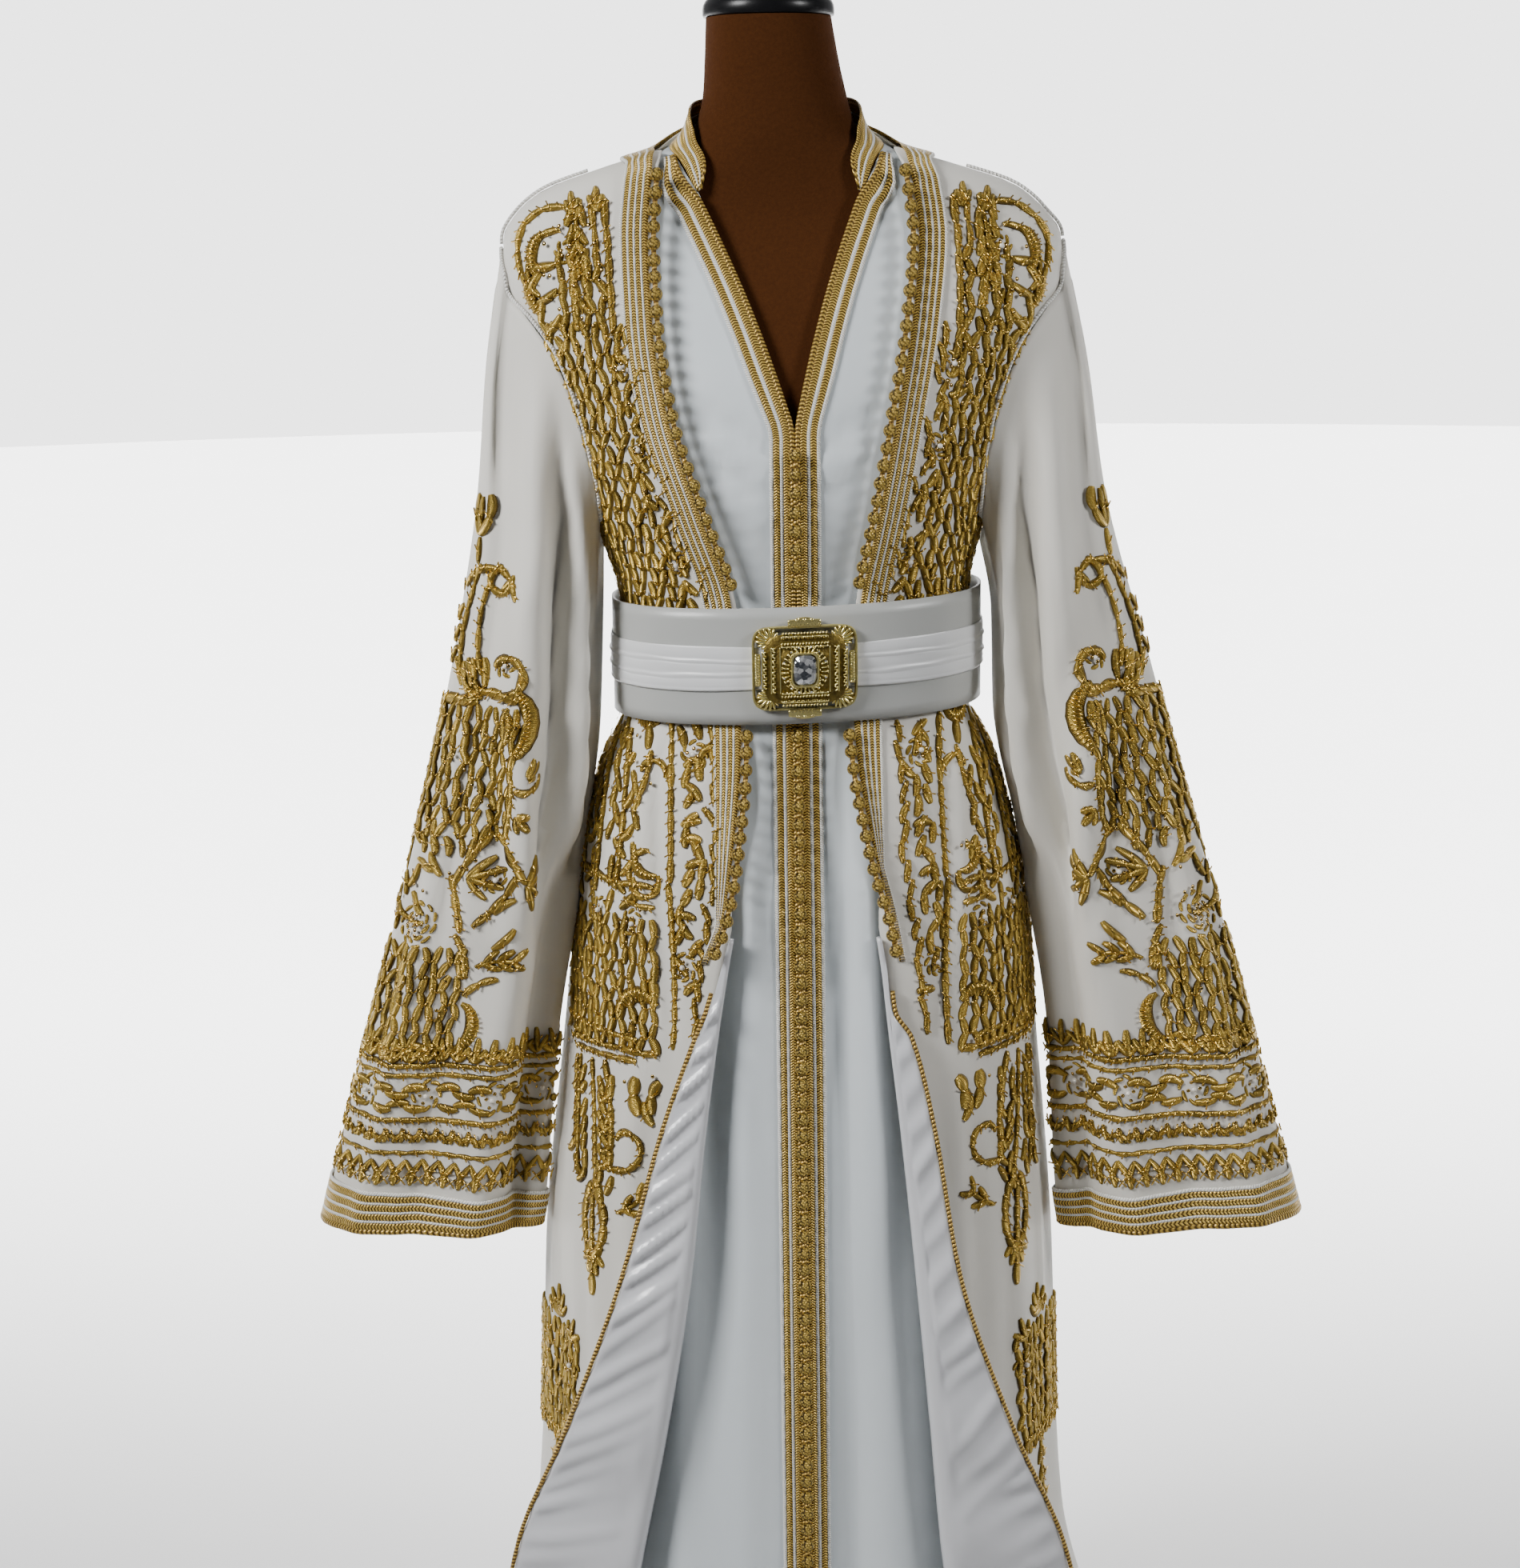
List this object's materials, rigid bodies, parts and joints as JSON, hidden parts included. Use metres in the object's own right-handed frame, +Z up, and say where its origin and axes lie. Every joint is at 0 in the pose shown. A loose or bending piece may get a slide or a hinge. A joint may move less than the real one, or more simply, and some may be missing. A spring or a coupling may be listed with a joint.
{
  "type": "takchita on dress form",
  "caption": "Two-layer ceremonial gown: belted inner dress with standing collar under an open over-robe with bell sleeves, on a stand.",
  "frame": {"origin": "middle of the stand's underside, on the floor", "axes": "+Z up through the neck, the gown's front towards -Y, +X the right of the front view"},
  "size_m": [0.7818, 0.4715, 1.5123],
  "materials": {
    "crepe": "ivory crepe",
    "satin": "cool white satin-faced crepe",
    "lining": "silvery white satin",
    "braid": "woven gold metallic braid",
    "gold_cord": "twisted and knotted gold thread",
    "white_cord": "twisted white silk",
    "belt": "grey-white satin on a stiff core",
    "pleats": "white pleated satin",
    "buckle": "polished gold-coloured cast brass",
    "crystal": "cut clear crystal",
    "form": "brown napped cover",
    "cap": "black lacquered cap",
    "stand": "dark painted steel"
  },
  "bodies": {
    "root": {"armhole_cord_left": "white_cord", "armhole_cord_right": "white_cord", "belt_band": "belt", "belt_pleats": "pleats", "buckle_bezel": "buckle", "buckle_crystal": "crystal", "buckle_dome": "buckle", "buckle_frame": "buckle", "buckle_tab_bottom": "buckle", "buckle_tab_top": "buckle", "dress_back": "satin", "dress_band_left": "braid", "dress_band_right": "braid", "dress_buttons_lower": "gold_cord", "dress_buttons_upper": "gold_cord", "dress_collar": "braid", "dress_front_left": "satin", "dress_front_right": "satin", "form_base": "stand", "form_cap": "cap", "form_pole": "stand", "form_torso": "form", "robe_back": "crepe", "robe_band_left": "braid", "robe_band_right": "braid", "robe_buttons_left_lower": "gold_cord", "robe_buttons_left_upper": "gold_cord", "robe_buttons_right_lower": "gold_cord", "robe_buttons_right_upper": "gold_cord", "robe_cuff_band_left": "braid", "robe_cuff_band_right": "braid", "robe_edge_cord_left": "gold_cord", "robe_edge_cord_right": "gold_cord", "robe_front_left": "crepe", "robe_front_right": "crepe", "robe_sleeve_left": "crepe", "robe_sleeve_right": "crepe", "robe_turnback_left": "lining", "robe_turnback_right": "lining", "shoulder_cord_left": "white_cord", "shoulder_cord_right": "white_cord"}
  },
  "joints": []
}
